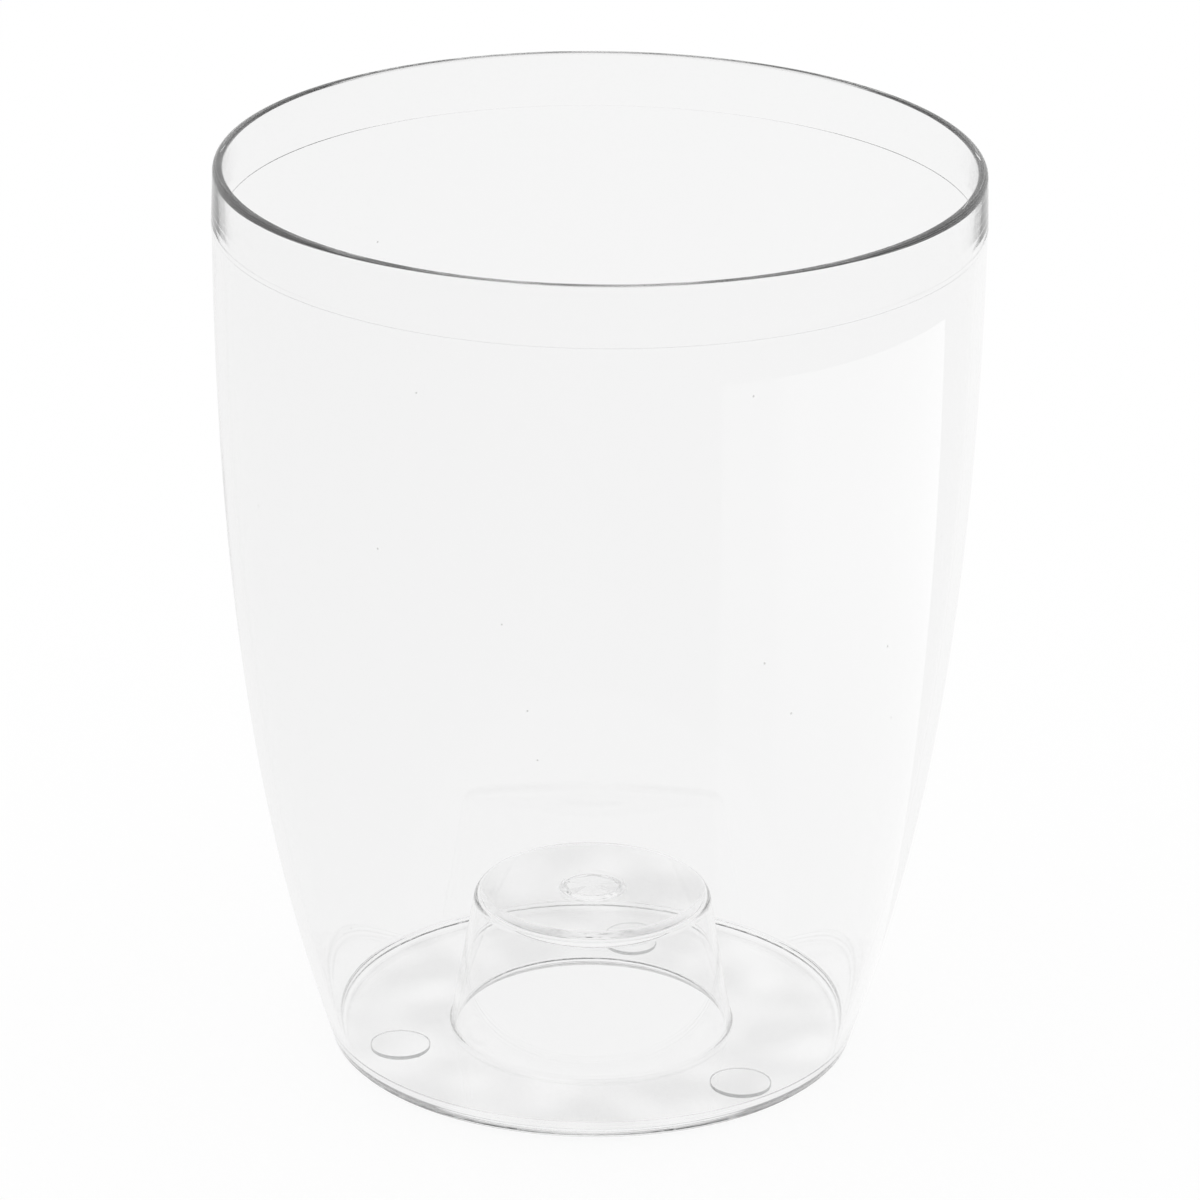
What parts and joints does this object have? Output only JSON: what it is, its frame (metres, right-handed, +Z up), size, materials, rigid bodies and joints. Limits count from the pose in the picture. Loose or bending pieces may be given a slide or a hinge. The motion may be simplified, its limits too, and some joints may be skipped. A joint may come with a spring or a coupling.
{
  "type": "orchid cover pot",
  "caption": "Clear moulded cover pot for an orchid: tapered round wall with a rim band, flat floor with a raised hollow pedestal, and small round feet.",
  "frame": {"origin": "centre of the base, on the surface that the feet stand on", "axes": "+Z up along the pot's axis towards the mouth; +Y away from the picture's viewer"},
  "size_m": [0.13, 0.13, 0.16],
  "materials": {
    "clear_polystyrene": "clear, mould-polished gloss",
    "clear_foot": "clear gloss"
  },
  "bodies": {
    "root": {"pot_body": "clear_polystyrene", "foot_1": "clear_foot", "foot_2": "clear_foot", "foot_3": "clear_foot"}
  },
  "joints": []
}
